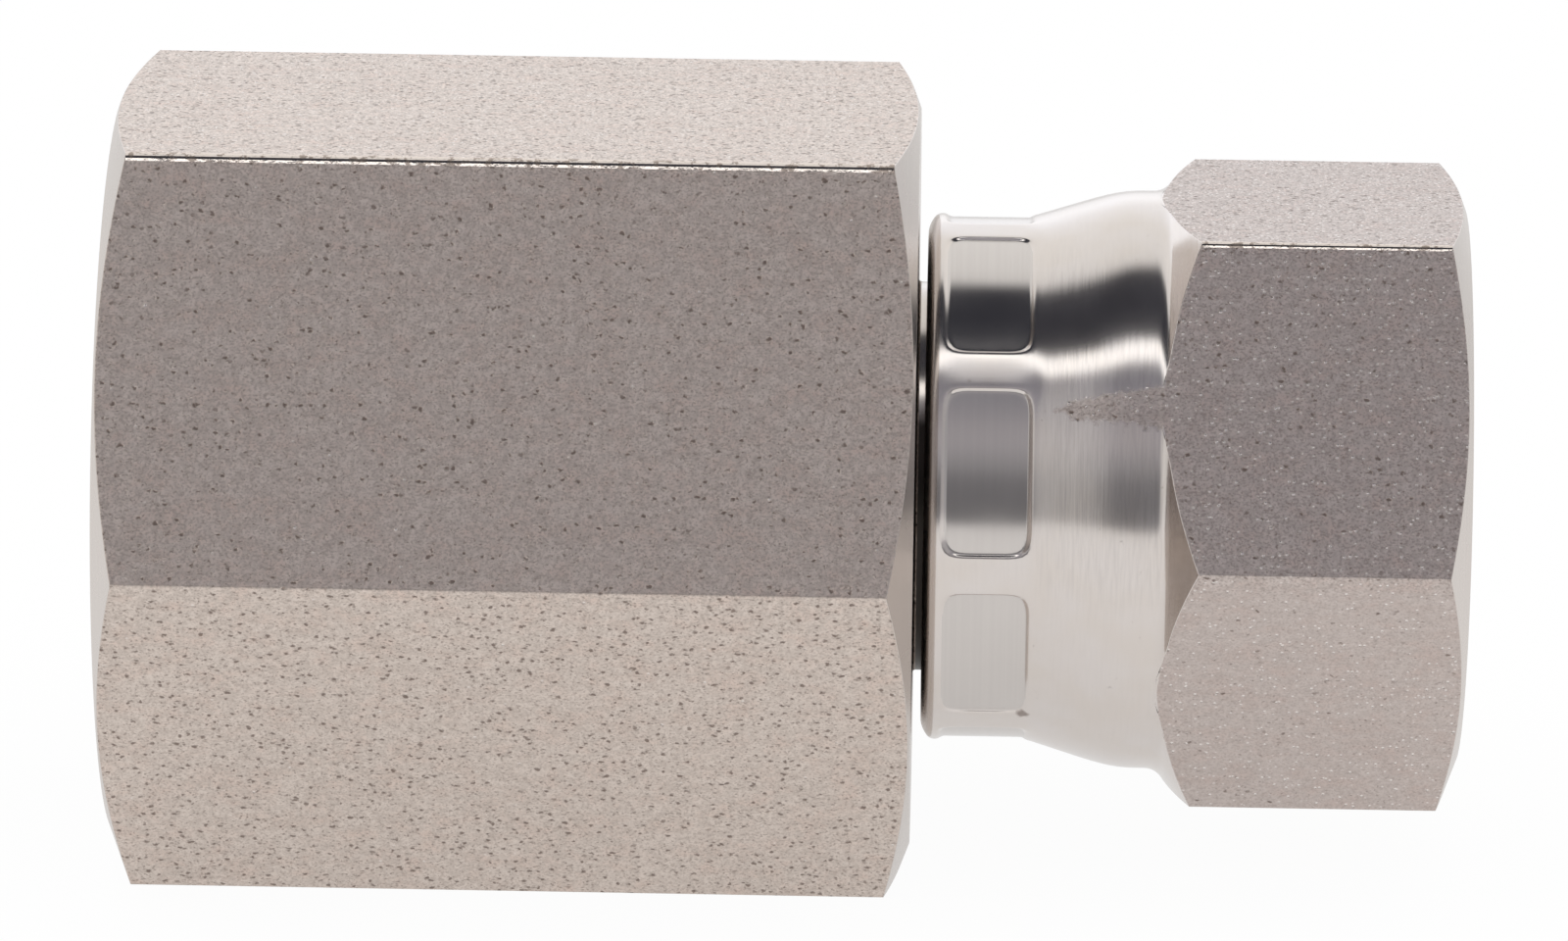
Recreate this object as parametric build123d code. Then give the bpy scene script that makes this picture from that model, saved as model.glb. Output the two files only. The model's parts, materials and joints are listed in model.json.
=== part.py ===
from build123d import *
import os
from math import cos, radians, sqrt, tan

# Hydraulic swivel adapter: a hexagon body with a female port at one end and a nipple
# with a 60 degree cone at the other. A swivel nut is crimped on behind the nipple's collar.
# The axis lies along X, the port's face is at X = 0 and one body flat faces down, to -Z.
# Sizes are millimetres, and radii in outlines are measured from the axis.

# Hexagon body
body_across_flats = 41.0
body_length = 43.6
body_face_diameter = 40.3
body_chamfer_angle = 21.0
hex_edge_round = 0.15

# Female port for a 1 inch parallel pipe thread, bored to the crest of that thread
port_crest_diameter = 30.291
port_mouth_diameter = 34.0
port_thread_length = 18.5
port_relief_diameter = 34.2
port_relief_width = 4.5
port_step = 1.6
drill_point_angle = 118.0
bore_mouth_chamfer = 0.4

# Nipple, from the bore outwards
flow_bore = 15.0
neck_wall = 3.15
neck_root_bevel = 0.4
collar_step = 1.35
collar_back_angle = 45.0
nose_half_angle = 30.0
nose_tip_wall = 1.4

# Seal ring in the nose's groove
seal_section = 1.6
seal_section_sides = 12
seal_seat_gap = 0.1
seal_side_gap = 0.15
seal_proud = 0.2
groove_floor_wall = 1.15

# Swivel nut, bored to the crest of a 3/4 inch parallel pipe thread
nut_across_flats = 31.75
nut_length = 29.3
nut_thread_crest = 24.117
nut_mouth_diameter = 27.0
nut_thread_length = 9.8
nut_relief_diameter = 26.8
nut_relief_width = 3.4
nut_face_diameter = 30.2
nut_face_chamfer_angle = 20.7
nut_shoulder_angle = 36.3

# Turned waist and crimped skirt of the nut
skirt_wall = 3.5
skirt_length = 5.8
skirt_rear_chamfer = 0.55
skirt_rear_bevel = 0.9
waist_wall = 3.6
waist_end = 12.9
flare_angle = 17.2
lip_length = 5.9

# Crimp marks round the skirt
crimp_count = 8
crimp_first_angle = 72.0
crimp_start = 1.15
crimp_length = 4.9
crimp_width = 9.1
crimp_corner = 0.9
crimp_depth = 0.2

# Running clearances
nut_gap = 0.5
swivel_clearance = 0.25
seat_clearance = 0.25
collar_clearance = 0.3
nose_setback = 0.3

# Reach of a cutting outline past the face that it opens
overcut = 1.0

# Radii and stations worked out from the sizes above
bore_radius = flow_bore / 2
neck_radius = bore_radius + neck_wall
collar_radius = neck_radius + collar_step
tip_radius = bore_radius + nose_tip_wall
lip_radius = neck_radius + swivel_clearance
cavity_radius = collar_radius + collar_clearance
skirt_radius = lip_radius + skirt_wall
waist_radius = cavity_radius + waist_wall

nut_rear = body_length + nut_gap
nut_front = nut_rear + nut_length
nut_mouth_depth = (nut_mouth_diameter - nut_thread_crest) / 2
nut_thread_inner = nut_front - nut_mouth_depth - nut_thread_length
nut_relief_inner = nut_thread_inner - nut_relief_width
nose_tip = nut_thread_inner - nose_setback

back_slope = tan(radians(collar_back_angle))
nose_slope = tan(radians(nose_half_angle))
lip_end = nut_rear + lip_length
seat_shift = seat_clearance * sqrt(1 + 1 / back_slope**2) - swivel_clearance / back_slope
collar_back = lip_end + seat_shift
collar_rear = collar_back + collar_step / back_slope
collar_front = nose_tip - (collar_radius - tip_radius) / nose_slope
cavity_rear = lip_end + (cavity_radius - lip_radius) / back_slope

groove_floor = bore_radius + groove_floor_wall
seal_radius = groove_floor + seal_seat_gap + seal_section / 2
seal_depth = (seal_section / 2 - seal_proud) / cos(radians(nose_half_angle))
seal_station = nose_tip - (seal_radius + seal_depth - tip_radius) / nose_slope
groove_half_width = seal_section / 2 + seal_side_gap


def turned(*points):
    """Solid that a lathe would turn from a closed outline of (X, radius) points."""
    return revolve(make_face(Polyline(*points, close=True)), Axis.X)


def hexagon_bar(across_flats, start, length):
    """Length of hexagon bar along X, with a flat up and a flat down."""
    section = RegularPolygon(across_flats / 2, 6, major_radius=False)
    section = fillet(section.vertices(), hex_edge_round)
    return Pos(start, 0, 0) * extrude(Plane.YZ * section, length)


def corner_reach(across_flats):
    """Radius just outside a hexagon's corners."""
    return across_flats / sqrt(3) + overcut


def nose_radius_at(station):
    """Radius of the nipple's cone at a place along X."""
    return tip_radius + (nose_tip - station) * nose_slope


def body_blank():
    """Hexagon bar, faced and chamfered at both ends."""
    reach = corner_reach(body_across_flats)
    face_radius = body_face_diameter / 2
    setback = (reach - face_radius) * tan(radians(body_chamfer_angle))
    envelope = turned(
        (0, 0),
        (0, face_radius),
        (setback, reach),
        (body_length - setback, reach),
        (body_length, face_radius),
        (body_length, 0),
    )
    return hexagon_bar(body_across_flats, 0, body_length) & envelope


def nipple():
    """Neck, collar and coned nose, with the groove for the seal ring."""
    groove_rear = seal_station - groove_half_width
    groove_front = seal_station + groove_half_width
    return turned(
        (body_length - overcut, 0),
        (body_length - overcut, neck_radius + neck_root_bevel),
        (body_length, neck_radius + neck_root_bevel),
        (body_length + neck_root_bevel, neck_radius),
        (collar_back, neck_radius),
        (collar_rear, collar_radius),
        (collar_front, collar_radius),
        (groove_rear, nose_radius_at(groove_rear)),
        (groove_rear, groove_floor),
        (groove_front, groove_floor),
        (groove_front, nose_radius_at(groove_front)),
        (nose_tip, tip_radius),
        (nose_tip, 0),
    )


def port_and_bore():
    """Space inside the body: thread mouth, thread, relief, drill point and flow bore."""
    mouth_radius = port_mouth_diameter / 2
    crest_radius = port_crest_diameter / 2
    relief_radius = port_relief_diameter / 2
    thread_start = mouth_radius - crest_radius
    thread_end = thread_start + port_thread_length
    relief_start = thread_end + relief_radius - crest_radius
    floor = thread_end + port_relief_width
    step_radius = relief_radius - port_step
    cone_end = floor + (step_radius - bore_radius) / tan(radians(drill_point_angle / 2))
    return turned(
        (-overcut, 0),
        (-overcut, mouth_radius + overcut),
        (thread_start, crest_radius),
        (thread_end, crest_radius),
        (relief_start, relief_radius),
        (floor, relief_radius),
        (floor, step_radius),
        (cone_end, bore_radius),
        (nose_tip - bore_mouth_chamfer, bore_radius),
        (nose_tip, bore_radius + bore_mouth_chamfer),
        (nose_tip + overcut, bore_radius + bore_mouth_chamfer),
        (nose_tip + overcut, 0),
    )


def adapter_body():
    """Body and nipple, turned as one piece from hexagon bar."""
    return body_blank() + nipple() - port_and_bore()


def nut_blank():
    """Outside of the nut: skirt, flare and waist turned on hexagon bar, and both chamfers."""
    reach = corner_reach(nut_across_flats)
    face_radius = nut_face_diameter / 2
    hexagon_rear = nut_rear + waist_end
    shoulder = (reach - waist_radius) * tan(radians(nut_shoulder_angle))
    setback = (reach - face_radius) * tan(radians(nut_face_chamfer_angle))
    flare_start = nut_rear + skirt_length
    flare_end = flare_start + (waist_radius - skirt_radius) / tan(radians(flare_angle))
    envelope = turned(
        (nut_rear, 0),
        (nut_rear, skirt_radius - skirt_rear_bevel),
        (nut_rear + skirt_rear_chamfer, skirt_radius),
        (flare_start, skirt_radius),
        (flare_end, waist_radius),
        (hexagon_rear, waist_radius),
        (hexagon_rear + shoulder, reach),
        (nut_front - setback, reach),
        (nut_front, face_radius),
        (nut_front, 0),
    )
    return hexagon_bar(nut_across_flats, nut_rear, nut_length) & envelope


def nut_bore():
    """Space inside the nut: lip, seat for the collar, cavity, relief, thread and mouth."""
    crest_radius = nut_thread_crest / 2
    mouth_radius = nut_mouth_diameter / 2
    relief_radius = nut_relief_diameter / 2
    thread_outer = nut_thread_inner + nut_thread_length
    relief_run = relief_radius - cavity_radius
    return turned(
        (nut_rear - overcut, 0),
        (nut_rear - overcut, lip_radius),
        (lip_end, lip_radius),
        (cavity_rear, cavity_radius),
        (nut_relief_inner - relief_run, cavity_radius),
        (nut_relief_inner, relief_radius),
        (nut_thread_inner - relief_radius + crest_radius, relief_radius),
        (nut_thread_inner, crest_radius),
        (thread_outer, crest_radius),
        (nut_front, mouth_radius),
        (nut_front + overcut, mouth_radius + overcut),
        (nut_front + overcut, 0),
    )


def crimp_marks():
    """Shallow rounded marks that the crimping jaws leave round the skirt."""
    floor = skirt_radius - crimp_depth
    start = nut_rear + crimp_start
    middle = start + crimp_length / 2
    ring = turned(
        (start - overcut, floor),
        (start - overcut, skirt_radius + overcut),
        (start + crimp_length + overcut, skirt_radius + overcut),
        (start + crimp_length + overcut, floor),
    )
    jaw = Pos(middle, 0, 0) * extrude(
        RectangleRounded(crimp_length, crimp_width, crimp_corner),
        skirt_radius + 2 * overcut,
    )
    mark = jaw & ring
    step = 360 / crimp_count
    return [Rot(crimp_first_angle + step * number, 0, 0) * mark for number in range(crimp_count)]


def swivel_nut():
    """Nut with its skirt crimped down behind the nipple's collar."""
    nut = nut_blank() - nut_bore()
    for mark in crimp_marks():
        nut -= mark
    return nut


def cone_o_ring():
    """Rubber ring that stands a little proud of the cone."""
    section = Pos(seal_station, seal_radius) * RegularPolygon(seal_section / 2, seal_section_sides)
    return revolve(section, Axis.X)


nodes = {
    "adapter_body": adapter_body(),
    "swivel_nut": swivel_nut(),
    "cone_o_ring": cone_o_ring(),
}

os.makedirs("parts", exist_ok=True)
for name, shape in nodes.items():
    export_step(shape, "parts/" + name + ".step")
    box = shape.bounding_box()
    print(name, "volume", round(shape.volume, 1), "size", box.size)
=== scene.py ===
import json
from math import atan2, cos, hypot, pi, radians, sin, sqrt, tan

import bmesh
import bpy
from bpy.props import FloatProperty, FloatVectorProperty, IntProperty, PointerProperty
from bpy.types import Operator, Panel, PropertyGroup
from mathutils import Matrix, Vector


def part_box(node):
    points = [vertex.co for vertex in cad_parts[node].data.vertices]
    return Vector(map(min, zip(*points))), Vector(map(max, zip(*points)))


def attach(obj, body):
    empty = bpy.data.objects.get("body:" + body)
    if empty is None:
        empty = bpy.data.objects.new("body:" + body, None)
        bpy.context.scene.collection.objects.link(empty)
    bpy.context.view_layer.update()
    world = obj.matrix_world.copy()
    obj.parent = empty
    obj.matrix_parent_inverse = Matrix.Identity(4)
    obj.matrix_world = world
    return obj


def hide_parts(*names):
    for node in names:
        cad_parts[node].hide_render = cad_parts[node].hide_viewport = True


bl_info = {
    "name": "Hydraulic swivel adapter",
    "version": (1, 0, 0),
    "blender": (4, 5, 0),
    "location": "3D View > Sidebar > Adapter",
    "description": "Hexagon adapter body with a threaded port, and a swivel nut crimped on its nipple",
    "category": "Add Mesh",
}

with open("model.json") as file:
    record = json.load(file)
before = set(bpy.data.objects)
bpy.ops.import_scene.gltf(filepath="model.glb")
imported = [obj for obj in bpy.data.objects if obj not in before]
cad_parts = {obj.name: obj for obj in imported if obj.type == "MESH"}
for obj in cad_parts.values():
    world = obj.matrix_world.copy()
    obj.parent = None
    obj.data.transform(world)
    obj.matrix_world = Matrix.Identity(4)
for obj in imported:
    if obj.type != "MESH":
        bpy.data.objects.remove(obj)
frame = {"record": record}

# The pieces are modelled in millimetres and brought to metres when they are done
MM = 0.001

# Places of the solids, in millimetres
BODY_LOW, BODY_HIGH = (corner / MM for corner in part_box("adapter_body"))
NUT_LOW, NUT_HIGH = (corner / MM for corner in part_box("swivel_nut"))
RING_LOW, RING_HIGH = (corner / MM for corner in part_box("cone_o_ring"))
MOUNTS = {mount["name"]: mount for mount in frame["record"]["mounts"]}

# Columns round a turned surface, and round the skirt's cage before it is subdivided
COLUMNS = 192
CAGE_COLUMNS = 48
CAGE_LEVELS = 2

# Points round the seal ring's section
RING_POINTS = 24

# Thread turning: steps in a turn, turns added for the two ends, and how far the cutter reaches inside
# the crest
THREAD_STEPS = 96
THREAD_ENDS = 1.5
THREAD_REACH = 0.2

# Pipe thread form: half of the angle between its flanks, the radius of its root's round as a share of
# the pitch, and the points along that round
FLANK_ANGLE = radians(27.5)
ROUND_SHARE = 0.137329
ROUND_POINTS = 5

# Vertices closer than the first are merged, in millimetres, and after a cut those closer than the
# second. Those within the third of a cutting plane lie on it.
WELD = 0.004
SLIVER = 0.012
ON_PLANE = 0.0004

# Edges that turn by less than the first are shaded smooth, and by more than the second are broken
SMOOTH_ANGLE = radians(35)
SHARP_ANGLE = radians(12)

# Outlines turned round a hexagon reach this far past its corners, in millimetres
CORNER_OVERCUT = 1.0

# Sides of a hexagon, and the angle from one to the next
SIDES = 6
SIDE_ANGLE = radians(60)


def size(name, description, default):
    """A length, set in millimetres and shown by Blender in its own unit."""
    return FloatProperty(name=name, description=description, default=default * MM, unit="LENGTH",
                         precision=5)


def turn(name, description, default):
    """An angle, set in degrees."""
    return FloatProperty(name=name, description=description, default=radians(default),
                         subtype="ANGLE")


def share(name, description, default):
    """A number from 0 to 1."""
    return FloatProperty(name=name, description=description, default=default, min=0, max=1,
                         subtype="FACTOR")


def colour(name, description, default):
    """A linear colour."""
    return FloatVectorProperty(name=name, description=description, default=default, size=3,
                               min=0, max=1, subtype="COLOR")


class BodySizes(PropertyGroup):
    """Sizes of the hexagon body, its port and its nipple"""

    across_flats: size("Across flats", "Width over two opposite flats",
                       BODY_HIGH.z - BODY_LOW.z)
    length: size("Length", "From the port face to the shoulder at the nipple", 43.6)
    face_diameter: size("Face diameter", "Across the turned end faces", 40.3)
    chamfer_angle: turn("Chamfer angle", "Of both end chamfers, from the end face", 21.0)
    edge_round: size("Edge round", "Width of the worn facets along the long edges", 0.39)
    edge_break: share("Turned edge break", "Width of the break on turned edges, to the edge round", 0.15)
    mouth_diameter: size("Port mouth", "Across the chamfer at the port face", 34.0)
    relief_diameter: size("Port relief", "Across the groove behind the thread", 34.2)
    relief_width: size("Port relief width", "Of the groove behind the thread", 4.5)
    step: size("Port step", "From the relief down to the drill point's edge", 1.6)
    drill_angle: turn("Drill point angle", "Included angle at the port's floor", 118.0)
    bore_diameter: size("Flow bore", "Across the bore", 15.0)
    bore_break: size("Bore break", "Chamfer where the bore opens at the nose", 0.4)
    thread_diameter: size("Port thread", "Major diameter of the port's thread", 33.249)
    thread_pitch: size("Port pitch", "Pitch of the port's thread", 2.309)
    neck_diameter: size("Neck", "Across the nipple's neck", 21.3)
    neck_round: size("Neck root round", "Radius where the neck leaves the body", 0.16)
    collar_start: size("Collar start", "From the port face to the collar's back", 50.104)
    collar_diameter: size("Collar", "Across the nipple's collar", 24.0)
    back_angle: turn("Collar back angle", "Of the collar's back, from the axis", 45.0)
    nose_angle: turn("Nose angle", "Half of the cone's angle", 30.0)
    tip_diameter: size("Nose tip", "Across the cone's tip", 17.8)
    groove_diameter: size("Groove floor", "Across the floor of the seal's groove", 17.3)
    groove_side_gap: size("Groove side gap", "On each side of the seal", 0.15)


class NutSizes(PropertyGroup):
    """Sizes of the swivel nut"""

    across_flats: size("Across flats", "Width over two opposite flats", NUT_HIGH.z - NUT_LOW.z)
    edge_round: size("Edge round", "Width of the worn facets along the long edges", 0.27)
    edge_break: share("Turned edge break", "Width of the break on turned edges, to the edge round", 0.22)
    face_diameter: size("Face diameter", "Across the turned front face", 30.2)
    face_angle: turn("Front chamfer angle", "From the front face", 20.7)
    shoulder_angle: turn("Shoulder angle", "Of the hexagon's rear chamfer, from square", 36.3)
    shoulder_round: size("Shoulder round", "Radius between the waist and the shoulder", 1.1)
    mouth_diameter: size("Mouth", "Across the chamfer at the front face", 27.0)
    relief_diameter: size("Relief", "Across the groove behind the thread", 26.8)
    relief_width: size("Relief width", "Of the groove behind the thread", 3.4)
    thread_diameter: size("Nut thread", "Major diameter of the nut's thread", 26.441)
    thread_pitch: size("Nut pitch", "Pitch of the nut's thread", 1.814)
    cavity_diameter: size("Cavity", "Across the room round the nipple's collar", 24.6)
    lip_diameter: size("Lip", "Across the lip that turns on the neck", 21.8)
    lip_length: size("Lip length", "From the nut's rear", 5.9)
    rear_bevel: size("Rear bevel", "Depth of the bevel at the skirt's rear edge", 0.95)
    rear_chamfer: size("Rear chamfer", "Length of the bevel at the skirt's rear edge", 0.48)
    skirt_diameter: size("Skirt", "Across the crimped skirt", 28.84)
    skirt_length: size("Skirt length", "From the nut's rear to the flare", 5.95)
    flare_angle: turn("Flare angle", "Of the flare, from the axis", 17.2)
    flare_root: size("Flare root", "Reach of the blend where the flare starts", 0.6)
    flare_crown: size("Flare crown", "Reach of the blend where the flare ends", 2.6)
    waist_diameter: size("Waist", "Across the turned waist", 31.64)
    waist_end: size("Waist end", "From the nut's rear to the shoulder's start", 12.9)
    waist_joint: size("Waist joint", "From the nut's rear to where skirt and hexagon join", 12.1)


class CrimpSizes(PropertyGroup):
    """Marks that the crimping jaws left round the skirt"""

    count: IntProperty(name="Marks", description="Number of marks round the skirt", default=8)
    first_angle: turn("First mark", "Middle of the first mark, from up towards -Y", 73.125)
    start: size("Start", "From the nut's rear to the marks", 0.82)
    rows: IntProperty(name="Rows", description="Cage rows along a mark", default=3)
    columns: IntProperty(name="Columns", description="Cage columns across a mark", default=5)
    rim: size("Rim", "Width of the rolled rim", 0.13)
    rim_drop: size("Rim drop", "How far the rolled rim sinks", 0.02)
    wall: size("Wall", "Width of the wall, and of its foot", 0.09)
    depth: size("Depth", "Of the mark's floor below its rim", 0.16)
    end_slope: share("End slope", "Length of a mark's floor to the mark, which slopes its ends", 0.92)


class SteelFinish(PropertyGroup):
    """Colours and roughness of the steel and the rubber"""

    bar: colour("Bar steel", "Matte pitted flats of the body", (0.735, 0.645, 0.582))
    nut_bar: colour("Nut bar steel", "Matte pitted flats of the nut", (0.637, 0.561, 0.525))
    pit: colour("Pit", "Scale and dirt in the pits", (0.15, 0.105, 0.085))
    # The neck colour is painted shade: the lower neck, deep in the narrow gap, is painted this dark
    neck: colour("Neck", "Oily steel of the neck, deep in the gap behind the nut", (0.05, 0.044, 0.04))
    turned: colour("Turned steel", "Faces, chamfers and bores from the lathe", (0.675, 0.617, 0.575))
    polished: colour("Polished steel", "Skirt and waist of the nut", (0.70, 0.65, 0.622))
    pressed: colour("Pressed steel", "Floors of the crimp marks", (0.665, 0.622, 0.594))
    rubber: colour("Rubber", "Seal ring", (0.018, 0.018, 0.02))
    bar_roughness: share("Bar roughness", "Of the flats", 0.38)
    turned_roughness: share("Turned roughness", "Of faces and chamfers", 0.27)
    bored_roughness: share("Bored roughness", "Of the bores and threads", 0.33)
    polished_roughness: share("Polished roughness", "Of the skirt and waist", 0.16)
    edge_roughness: share("Edge roughness", "Of the worn facets along the long edges", 0.13)
    rubber_roughness: share("Rubber roughness", "Of the seal ring", 0.5)


class StageSettings(PropertyGroup):
    """Camera, floor and light"""

    azimuth: turn("Camera azimuth", "Round from looking along +Y", 1.011)
    elevation: turn("Camera elevation", "Above the horizon", 16.065)
    roll: turn("Camera roll", "About the line of sight", 0.682)
    distance: size("Camera distance", "From the camera to its target", 551.89)
    target: FloatVectorProperty(name="Camera target", size=3, subtype="TRANSLATION",
                                description="Point in the middle of the view",
                                default=(0.036383, 0.000014, 0.000148))
    lens: FloatProperty(name="Lens", description="Focal length in millimetres", default=230.97)
    floor_side: size("Floor side", "Length of the floor's side", 500.0)
    floor: colour("Floor", "Pale floor", (0.82, 0.82, 0.82))
    lamp_place: FloatVectorProperty(name="Lamp place", size=3, subtype="TRANSLATION",
                                    description="Middle of the overhead lamp",
                                    default=(0.0, -0.15, 0.9))
    lamp_side: size("Lamp side", "Length of the overhead lamp's side", 800.0)
    lamp_power: FloatProperty(name="Lamp power", description="Of the overhead lamp, in watts",
                              default=2.6, unit="POWER")


class Millimetres:
    """Reads a group's lengths in millimetres."""

    def __init__(self, group):
        self.group = group

    def __getattr__(self, name):
        return getattr(self.group, name) / MM


# Sockets of the Mix node that carry colours
MIX_FIRST = 6
MIX_SECOND = 7
MIX_COLOUR = 2


class Wire:
    """A shader socket on which sums are written as plain Python."""

    def __init__(self, tree, socket=None):
        self.tree = tree
        self.socket = socket

    def node(self, kind, settings=None, inputs=None, output=0):
        """New node: its settings first, then values or wires for its sockets."""
        made = self.tree.nodes.new(kind)
        for key, value in (settings or {}).items():
            if key == "stops":
                set_stops(made.color_ramp, value)
            else:
                setattr(made, key, value)
        for key, value in (inputs or {}).items():
            if isinstance(value, Wire):
                self.tree.links.new(value.socket, made.inputs[key])
            else:
                made.inputs[key].default_value = value
        return Wire(self.tree, made.outputs[output] if made.outputs else None)

    def maths(self, operation, *values):
        """Sum of numbers or wires."""
        return self.node("ShaderNodeMath", {"operation": operation}, dict(enumerate(values)))

    def vector_maths(self, operation, *values, output=0):
        """Sum of vectors or wires."""
        settings = {"operation": operation}
        return self.node("ShaderNodeVectorMath", settings, dict(enumerate(values)), output)

    def __add__(self, other):
        return self.maths("ADD", self, other)

    def __sub__(self, other):
        return self.maths("SUBTRACT", self, other)

    def __rsub__(self, other):
        return self.maths("SUBTRACT", other, self)

    def __mul__(self, other):
        return self.maths("MULTIPLY", self, other)

    def __abs__(self):
        return self.maths("ABSOLUTE", self)

    def step(self, low, high):
        """Smooth step from 0 at low to 1 at high, which may be the lower number."""
        settings = {"interpolation_type": "SMOOTHSTEP"}
        if low < high:
            ends = {"From Min": low, "From Max": high, "To Min": 0.0, "To Max": 1.0}
        else:
            ends = {"From Min": high, "From Max": low, "To Min": 1.0, "To Max": 0.0}
        return self.node("ShaderNodeMapRange", settings, {"Value": self, **ends})

    def mix(self, first, second):
        """Colour that goes from first to second as this value goes from 0 to 1."""
        settings = {"data_type": "RGBA"}
        ends = {MIX_FIRST: opaque(first), MIX_SECOND: opaque(second)}
        return self.node("ShaderNodeMix", settings, {"Factor": self, **ends}, MIX_COLOUR)

    def part(self, axis):
        """This vector's part along X, Y or Z."""
        return self.node("ShaderNodeSeparateXYZ", None, {0: self}, axis)

    def stretched(self, scales):
        """This vector, with each axis multiplied by its own scale."""
        return self.vector_maths("MULTIPLY", self, scales)

    def noise(self, scale, detail=2.0, roughness=0.5, output="Fac"):
        """Cloudy noise over this place, with scale clouds to the millimetre."""
        inputs = {"Vector": self, "Scale": scale, "Detail": detail, "Roughness": roughness}
        return self.node("ShaderNodeTexNoise", None, inputs, output)

    def clouds(self, noise, fade):
        """Mask of the clouds of a noise, which fade in between two of its values."""
        return self.noise(*noise).step(*fade)

    def cells(self, scale, output="Distance"):
        """Scattered points over this place, with scale points to the millimetre."""
        inputs = {"Vector": self, "Scale": scale}
        return self.node("ShaderNodeTexVoronoi", None, inputs, output)


def opaque(value):
    """A colour with its alpha, or a wire as it is."""
    return value if isinstance(value, Wire) else (*value, 1.0)


def shade(value, factors):
    """A colour with each channel multiplied by its own factor."""
    return [channel * factor for channel, factor in zip(value, factors)]


def varied(middle, noise, spread):
    """A number that noise varies by a spread about its middle."""
    return (noise - 0.5) * spread + middle


def set_stops(ramp, stops):
    """Puts the (place, colour) stops on a colour ramp."""
    while len(ramp.elements) > 1:
        ramp.elements.remove(ramp.elements[-1])
    ramp.elements[0].position = stops[0][0]
    ramp.elements[0].color = stops[0][1]
    for place, value in stops[1:]:
        ramp.elements.new(place).color = value


def new_material(name):
    """Empty material, as a wire to start from."""
    material = bpy.data.materials.new(name)
    material.use_nodes = True
    material.node_tree.nodes.clear()
    return material, Wire(material.node_tree)


def output_surface(wire, base, roughness, metallic, height):
    """Closes a material: a principled surface with its bump, whose height is in millimetres."""
    normal = wire.node("ShaderNodeBump", None, {"Height": height, "Distance": MM}, "Normal")
    inputs = {"Base Color": opaque(base), "Roughness": roughness, "Metallic": metallic, "Normal": normal}
    surface = wire.node("ShaderNodeBsdfPrincipled", None, inputs)
    wire.node("ShaderNodeOutputMaterial", None, {"Surface": surface})


def object_position(wire):
    """Place on the piece, in millimetres."""
    place = wire.node("ShaderNodeTexCoord", None, None, "Object")
    settings = {"operation": "SCALE"}
    return wire.node("ShaderNodeVectorMath", settings, {0: place, "Scale": 1 / MM})


def radius_about_axis(wire, place):
    """Place as (X, radius, 0), which is the same all round the axis."""
    radius = wire.vector_maths("LENGTH", place.stretched((0.0, 1.0, 1.0)), output="Value")
    return wire.node("ShaderNodeCombineXYZ", None, {"X": place.part("X"), "Y": radius})


# Each bar's flats: how thickly they are pitted and what the lower ones add, how strong their grain is
# and its share on the lower ones, the points that show as glints, and the top's height
BODY_GRADE = {"pits": -0.05, "pits_below": 0.22, "grain": 0.62, "grain_below": 0.75,
              "glints": (0.84, 0.98), "top": BODY_HIGH.z}
NUT_GRADE = {"pits": -0.19, "pits_below": -0.14, "grain": 0.72, "grain_below": 0.45,
             "glints": (0.42, 0.68), "top": NUT_HIGH.z}

# How much thicker the pits and glints are on the upper flat, and how much stronger its grain is: partly
# real pitting, and partly painted shade and painted highlights of its fine relief
PITS_AND_SHADE_ABOVE = 0.16
GLINT_HIGHLIGHTS_ABOVE = 0.32
GRAIN_AND_SHADE_ABOVE = 1.7

# Heights over which the lower flats begin, and depths under a bar's top over which its upper flat does
LOWER_FLATS = (0.2, -1.5)
UPPER_FLAT = (0.8, 0.2)

# Dots: points to the millimetre, the radii between which a dot fades, and the points that show as dots
LARGE_PITS = (2.5, (0.33, 0.12), (0.46, 0.78))
SMALL_PITS = (4.6, (0.34, 0.12), (0.30, 0.75))
GLINTS = (3.0, (0.34, 0.08))

# Pits are drawn out along the bar and bent out of round by small clouds, and glints are scattered over
# the mirror image of the place, so that they fall elsewhere
PIT_STRETCH = (0.7, 1.0, 1.0)
PIT_BEND = (0.34, 0.34, 0.34)
BEND_CLOUDS = 3.2
MIRRORED = (-1.0, 1.0, 1.0)

# Pits crowd together in clouds, this many to the millimetre, by this much
CROWD_CLOUDS = 0.35
CROWDING = 0.3

# Clouds: how many to the millimetre, their detail and roughness, and the values between which they fade
GRAIN = ((8.0, 2.0, 0.6), (0.40, 0.70))
MOTTLE = ((2.2, 3.0, 0.65), (0.32, 0.68))
STAINS = ((0.9, 3.0, 0.6), (0.40, 0.72))
RELIEF = (5.5, 3.0, 0.62)
GRAIN_STRETCH = (0.8, 1.0, 1.0)
STAIN_STRETCH = (0.6, 1.0, 1.0)

# Values of grain and mottle that stay as they are when their contrast grows
GRAIN_MIDDLE = 0.3
MOTTLE_MIDDLE = 0.5

# What stains, mottle and grain leave of the bar's colour, and the painted highlight colour of the glints
STAIN_SHADE = (0.965, 0.905, 0.885)
MOTTLE_SHADE = (0.80, 0.795, 0.79)
GRAIN_SHADE = (0.55, 0.52, 0.51)
GLINT_HIGHLIGHT_COLOUR = (0.95, 0.90, 0.86)

# How strongly mottle and pits colour the steel and the glints paint their highlights on it, and what the
# upper flat adds to that, partly as painted shade of its fine relief
MOTTLE_SHOWN = 0.8
LARGE_PITS_SHOWN = 0.78
SMALL_PITS_SHOWN = 0.45
SMALL_PITS_AND_SHADE_ADDED = 0.35
GLINT_HIGHLIGHTS_SHOWN = 0.7
GLINT_HIGHLIGHTS_ADDED = 0.25

# How far the flats' roughness varies, and how much smoother a glint is
BAR_SPREAD = 0.20
GLINT_POLISH = 0.16

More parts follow.
